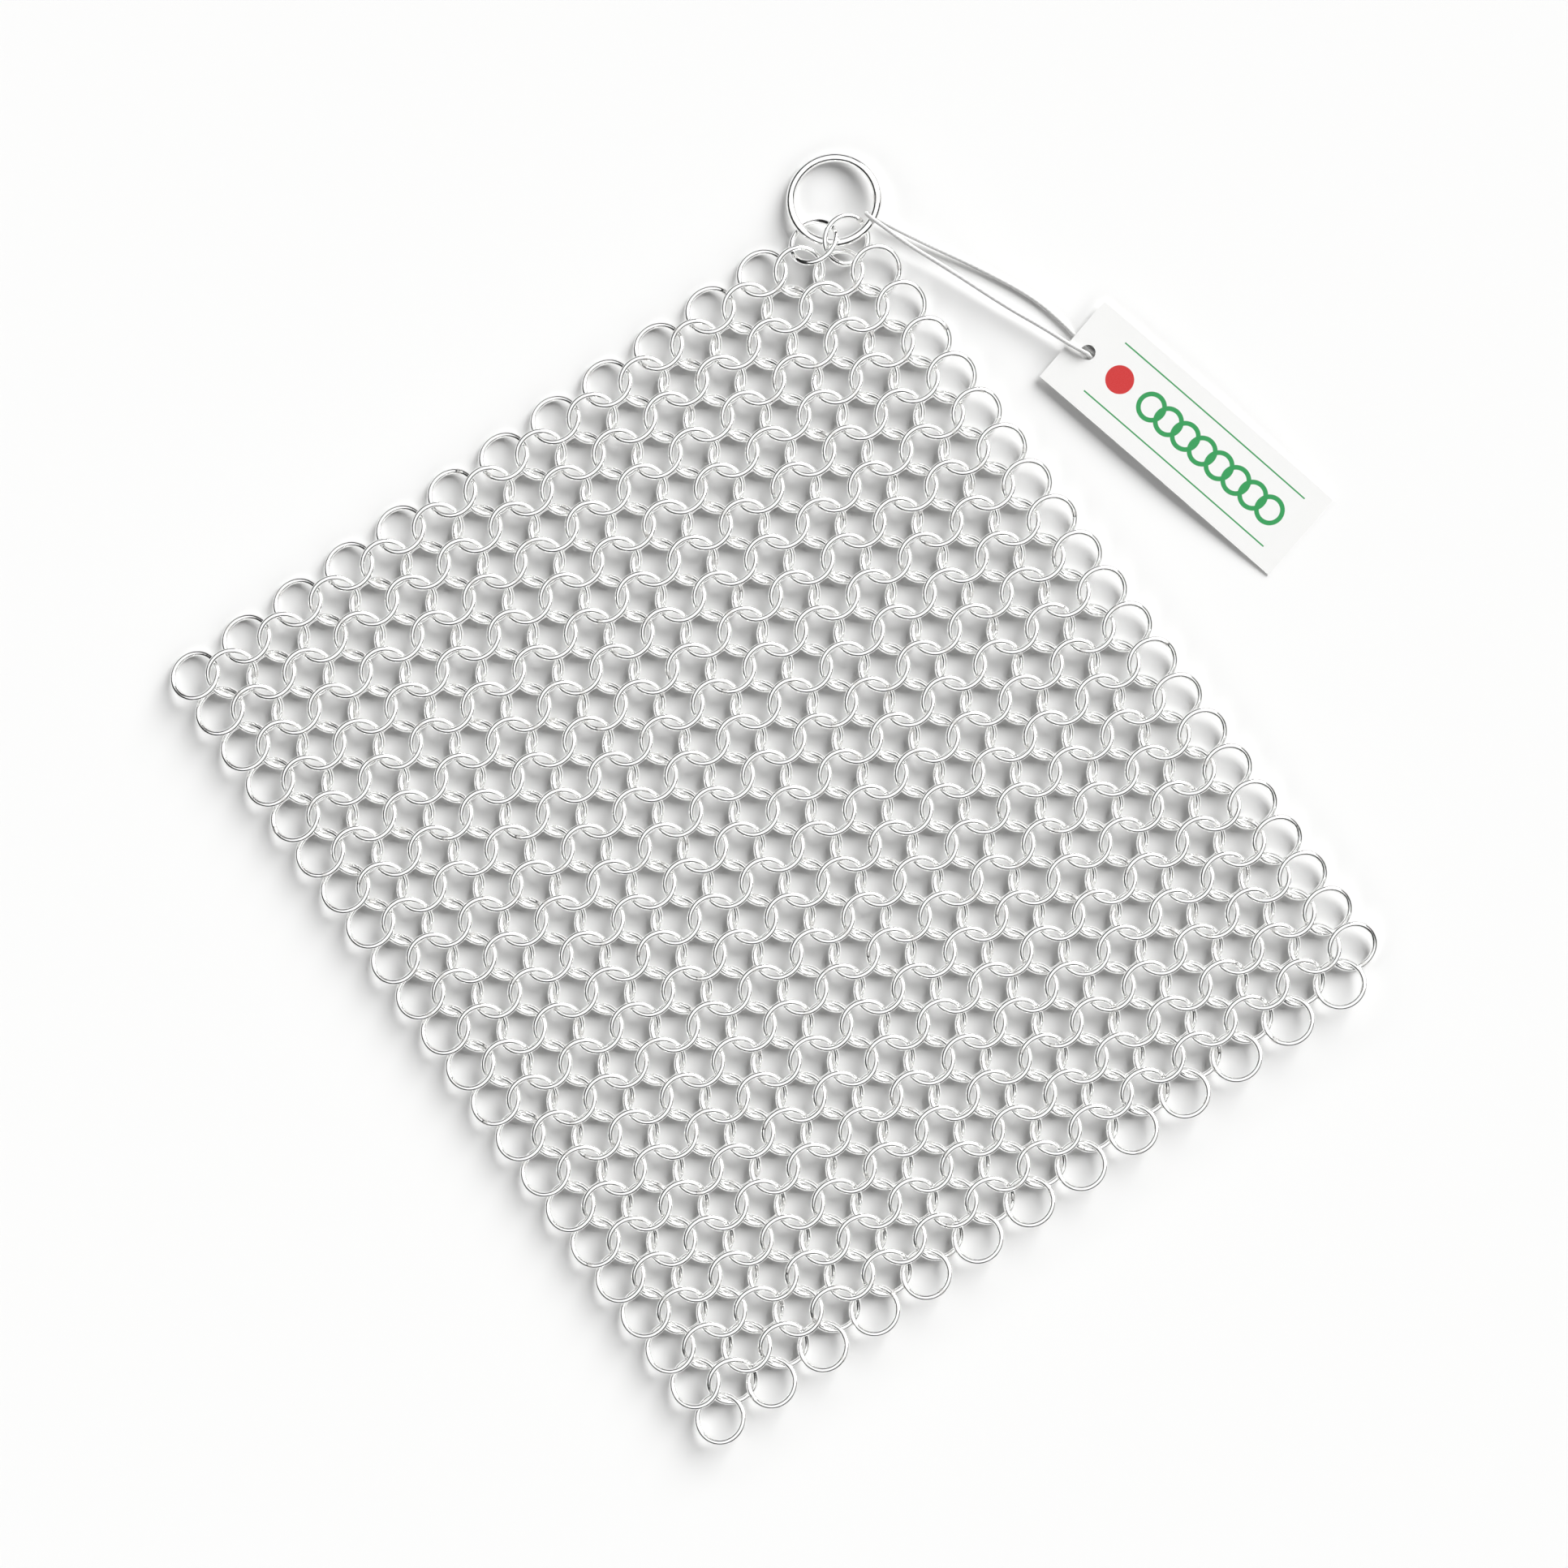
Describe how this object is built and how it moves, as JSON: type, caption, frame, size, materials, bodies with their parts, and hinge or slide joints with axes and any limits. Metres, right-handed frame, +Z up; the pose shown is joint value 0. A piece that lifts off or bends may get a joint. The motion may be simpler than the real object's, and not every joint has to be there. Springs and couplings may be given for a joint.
{
  "type": "pot scrubber",
  "caption": "Flat chain-mail pot scrubber of interlinked welded steel rings, with a larger hanging ring through one corner and a plain card tag on a string loop.",
  "frame": {"origin": "on the resting surface, under the middle of the box round the rings", "axes": "+X along the rows of rings, +Y from the last row to the first, +Z up"},
  "size_m": [0.2226, 0.211, 0.0066],
  "materials": {
    "mail_steel": "bright drawn wire",
    "hanging_ring_steel": "bright drawn wire",
    "tag_card": "uncoated white card",
    "tag_string": "white twisted cotton"
  },
  "bodies": {
    "row_01": {"ring_row_01": "mail_steel"},
    "row_02": {"ring_row_02": "mail_steel"},
    "row_03": {"ring_row_03": "mail_steel"},
    "row_04": {"ring_row_04": "mail_steel"},
    "row_05": {"ring_row_05": "mail_steel"},
    "row_06": {"ring_row_06": "mail_steel"},
    "row_07": {"ring_row_07": "mail_steel"},
    "row_08": {"ring_row_08": "mail_steel"},
    "row_09": {"ring_row_09": "mail_steel"},
    "row_10": {"ring_row_10": "mail_steel"},
    "row_11": {"ring_row_11": "mail_steel"},
    "row_12": {"ring_row_12": "mail_steel"},
    "row_13": {"ring_row_13": "mail_steel"},
    "row_14": {"ring_row_14": "mail_steel"},
    "row_15": {"ring_row_15": "mail_steel"},
    "row_16": {"ring_row_16": "mail_steel"},
    "row_17": {"ring_row_17": "mail_steel"},
    "row_18": {"ring_row_18": "mail_steel"},
    "row_19": {"ring_row_19": "mail_steel"},
    "row_20": {"ring_row_20": "mail_steel"},
    "row_21": {"ring_row_21": "mail_steel"},
    "row_22": {"ring_row_22": "mail_steel"},
    "row_23": {"ring_row_23": "mail_steel"},
    "row_24": {"ring_row_24": "mail_steel"},
    "row_25": {"ring_row_25": "mail_steel"},
    "row_26": {"ring_row_26": "mail_steel"},
    "row_27": {"ring_row_27": "mail_steel"},
    "row_28": {"ring_row_28": "mail_steel"},
    "row_29": {"ring_row_29": "mail_steel"},
    "row_30": {"ring_row_30": "mail_steel"},
    "row_31": {"ring_row_31": "mail_steel"},
    "row_32": {"ring_row_32": "mail_steel"},
    "row_33": {"ring_row_33": "mail_steel"},
    "row_34": {"ring_row_34": "mail_steel"},
    "row_35": {"ring_row_35": "mail_steel"},
    "row_36": {"ring_row_36": "mail_steel"},
    "row_37": {"ring_row_37": "mail_steel"},
    "row_38": {"ring_row_38": "mail_steel"},
    "row_39": {"ring_row_39": "mail_steel"},
    "row_40": {"ring_row_40": "mail_steel"},
    "row_41": {"ring_row_41": "mail_steel"},
    "row_42": {"ring_row_42": "mail_steel"},
    "row_43": {"ring_row_43": "mail_steel"},
    "hanging_ring": {"hanging_ring": "hanging_ring_steel"},
    "swing_tag": {"tag_card": "tag_card", "tag_string": "tag_string", "string_knot": "tag_string"}
  },
  "joints": [
    {"name": "fold_01_02", "type": "hinge", "parent": "row_02", "child": "row_01", "pos_m": [0, 0.08955, 0.00324], "axis": [-1, 0, 0], "range_deg": [0, 8]},
    {"name": "fold_02_03", "type": "hinge", "parent": "row_03", "child": "row_02", "pos_m": [0, 0.08498, 0.00143], "axis": [1, 0, 0], "range_deg": [0, 30]},
    {"name": "fold_03_04", "type": "hinge", "parent": "row_04", "child": "row_03", "pos_m": [0, 0.08042, 0.00324], "axis": [-1, 0, 0], "range_deg": [0, 50]},
    {"name": "fold_04_05", "type": "hinge", "parent": "row_05", "child": "row_04", "pos_m": [0, 0.07585, 0.00143], "axis": [1, 0, 0], "range_deg": [0, 45]},
    {"name": "fold_05_06", "type": "hinge", "parent": "row_06", "child": "row_05", "pos_m": [0, 0.07128, 0.00324], "axis": [-1, 0, 0], "range_deg": [0, 50]},
    {"name": "fold_06_07", "type": "hinge", "parent": "row_07", "child": "row_06", "pos_m": [0, 0.06671, 0.00143], "axis": [1, 0, 0], "range_deg": [0, 45]},
    {"name": "fold_07_08", "type": "hinge", "parent": "row_08", "child": "row_07", "pos_m": [0, 0.06214, 0.00324], "axis": [-1, 0, 0], "range_deg": [0, 50]},
    {"name": "fold_08_09", "type": "hinge", "parent": "row_09", "child": "row_08", "pos_m": [0, 0.05758, 0.00143], "axis": [1, 0, 0], "range_deg": [0, 45]},
    {"name": "fold_09_10", "type": "hinge", "parent": "row_10", "child": "row_09", "pos_m": [0, 0.05301, 0.00324], "axis": [-1, 0, 0], "range_deg": [0, 50]},
    {"name": "fold_10_11", "type": "hinge", "parent": "row_11", "child": "row_10", "pos_m": [0, 0.04844, 0.00143], "axis": [1, 0, 0], "range_deg": [0, 45]},
    {"name": "fold_11_12", "type": "hinge", "parent": "row_12", "child": "row_11", "pos_m": [0, 0.04387, 0.00324], "axis": [-1, 0, 0], "range_deg": [0, 50]},
    {"name": "fold_12_13", "type": "hinge", "parent": "row_13", "child": "row_12", "pos_m": [0, 0.03931, 0.00143], "axis": [1, 0, 0], "range_deg": [0, 45]},
    {"name": "fold_13_14", "type": "hinge", "parent": "row_14", "child": "row_13", "pos_m": [0, 0.03474, 0.00324], "axis": [-1, 0, 0], "range_deg": [0, 50]},
    {"name": "fold_14_15", "type": "hinge", "parent": "row_15", "child": "row_14", "pos_m": [0, 0.03017, 0.00143], "axis": [1, 0, 0], "range_deg": [0, 45]},
    {"name": "fold_15_16", "type": "hinge", "parent": "row_16", "child": "row_15", "pos_m": [0, 0.0256, 0.00324], "axis": [-1, 0, 0], "range_deg": [0, 50]},
    {"name": "fold_16_17", "type": "hinge", "parent": "row_17", "child": "row_16", "pos_m": [0, 0.02103, 0.00143], "axis": [1, 0, 0], "range_deg": [0, 45]},
    {"name": "fold_17_18", "type": "hinge", "parent": "row_18", "child": "row_17", "pos_m": [0, 0.01647, 0.00324], "axis": [-1, 0, 0], "range_deg": [0, 50]},
    {"name": "fold_18_19", "type": "hinge", "parent": "row_19", "child": "row_18", "pos_m": [0, 0.0119, 0.00143], "axis": [1, 0, 0], "range_deg": [0, 45]},
    {"name": "fold_19_20", "type": "hinge", "parent": "row_20", "child": "row_19", "pos_m": [0, 0.00733, 0.00324], "axis": [-1, 0, 0], "range_deg": [0, 50]},
    {"name": "fold_20_21", "type": "hinge", "parent": "row_21", "child": "row_20", "pos_m": [0, 0.00276, 0.00143], "axis": [1, 0, 0], "range_deg": [0, 45]},
    {"name": "fold_21_22", "type": "hinge", "parent": "row_22", "child": "row_21", "pos_m": [0, -0.0018, 0.00324], "axis": [-1, 0, 0], "range_deg": [0, 50]},
    {"name": "fold_22_23", "type": "hinge", "parent": "row_22", "child": "row_23", "pos_m": [0, -0.00637, 0.00143], "axis": [-1, 0, 0], "range_deg": [0, 45]},
    {"name": "fold_23_24", "type": "hinge", "parent": "row_23", "child": "row_24", "pos_m": [0, -0.01094, 0.00324], "axis": [1, 0, 0], "range_deg": [0, 50]},
    {"name": "fold_24_25", "type": "hinge", "parent": "row_24", "child": "row_25", "pos_m": [0, -0.01551, 0.00143], "axis": [-1, 0, 0], "range_deg": [0, 45]},
    {"name": "fold_25_26", "type": "hinge", "parent": "row_25", "child": "row_26", "pos_m": [0, -0.02007, 0.00324], "axis": [1, 0, 0], "range_deg": [0, 50]},
    {"name": "fold_26_27", "type": "hinge", "parent": "row_26", "child": "row_27", "pos_m": [0, -0.02464, 0.00143], "axis": [-1, 0, 0], "range_deg": [0, 45]},
    {"name": "fold_27_28", "type": "hinge", "parent": "row_27", "child": "row_28", "pos_m": [0, -0.02921, 0.00324], "axis": [1, 0, 0], "range_deg": [0, 50]},
    {"name": "fold_28_29", "type": "hinge", "parent": "row_28", "child": "row_29", "pos_m": [0, -0.03378, 0.00143], "axis": [-1, 0, 0], "range_deg": [0, 45]},
    {"name": "fold_29_30", "type": "hinge", "parent": "row_29", "child": "row_30", "pos_m": [0, -0.03835, 0.00324], "axis": [1, 0, 0], "range_deg": [0, 50]},
    {"name": "fold_30_31", "type": "hinge", "parent": "row_30", "child": "row_31", "pos_m": [0, -0.04291, 0.00143], "axis": [-1, 0, 0], "range_deg": [0, 45]},
    {"name": "fold_31_32", "type": "hinge", "parent": "row_31", "child": "row_32", "pos_m": [0, -0.04748, 0.00324], "axis": [1, 0, 0], "range_deg": [0, 50]},
    {"name": "fold_32_33", "type": "hinge", "parent": "row_32", "child": "row_33", "pos_m": [0, -0.05205, 0.00143], "axis": [-1, 0, 0], "range_deg": [0, 45]},
    {"name": "fold_33_34", "type": "hinge", "parent": "row_33", "child": "row_34", "pos_m": [0, -0.05662, 0.00324], "axis": [1, 0, 0], "range_deg": [0, 50]},
    {"name": "fold_34_35", "type": "hinge", "parent": "row_34", "child": "row_35", "pos_m": [0, -0.06118, 0.00143], "axis": [-1, 0, 0], "range_deg": [0, 45]},
    {"name": "fold_35_36", "type": "hinge", "parent": "row_35", "child": "row_36", "pos_m": [0, -0.06575, 0.00324], "axis": [1, 0, 0], "range_deg": [0, 50]},
    {"name": "fold_36_37", "type": "hinge", "parent": "row_36", "child": "row_37", "pos_m": [0, -0.07032, 0.00143], "axis": [-1, 0, 0], "range_deg": [0, 45]},
    {"name": "fold_37_38", "type": "hinge", "parent": "row_37", "child": "row_38", "pos_m": [0, -0.07489, 0.00324], "axis": [1, 0, 0], "range_deg": [0, 50]},
    {"name": "fold_38_39", "type": "hinge", "parent": "row_38", "child": "row_39", "pos_m": [0, -0.07945, 0.00143], "axis": [-1, 0, 0], "range_deg": [0, 45]},
    {"name": "fold_39_40", "type": "hinge", "parent": "row_39", "child": "row_40", "pos_m": [0, -0.08402, 0.00324], "axis": [1, 0, 0], "range_deg": [0, 50]},
    {"name": "fold_40_41", "type": "hinge", "parent": "row_40", "child": "row_41", "pos_m": [0, -0.08859, 0.00143], "axis": [-1, 0, 0], "range_deg": [0, 45]},
    {"name": "fold_41_42", "type": "hinge", "parent": "row_41", "child": "row_42", "pos_m": [0, -0.09316, 0.00324], "axis": [1, 0, 0], "range_deg": [0, 50]},
    {"name": "fold_42_43", "type": "hinge", "parent": "row_42", "child": "row_43", "pos_m": [0, -0.09773, 0.00143], "axis": [-1, 0, 0], "range_deg": [0, 45]},
    {"name": "hanging_ring_swing", "type": "hinge", "parent": "row_01", "child": "hanging_ring", "pos_m": [0.07542, 0.08947, 0.00305], "axis": [0.7114, -0.6958, 0.099], "range_deg": [0, 75]},
    {"name": "tag_swing", "type": "hinge", "parent": "hanging_ring", "child": "swing_tag", "pos_m": [0.08591, 0.0876, 0.00332], "axis": [-0.8733, -0.4823, 0.0686], "range_deg": [0, 120]}
  ]
}
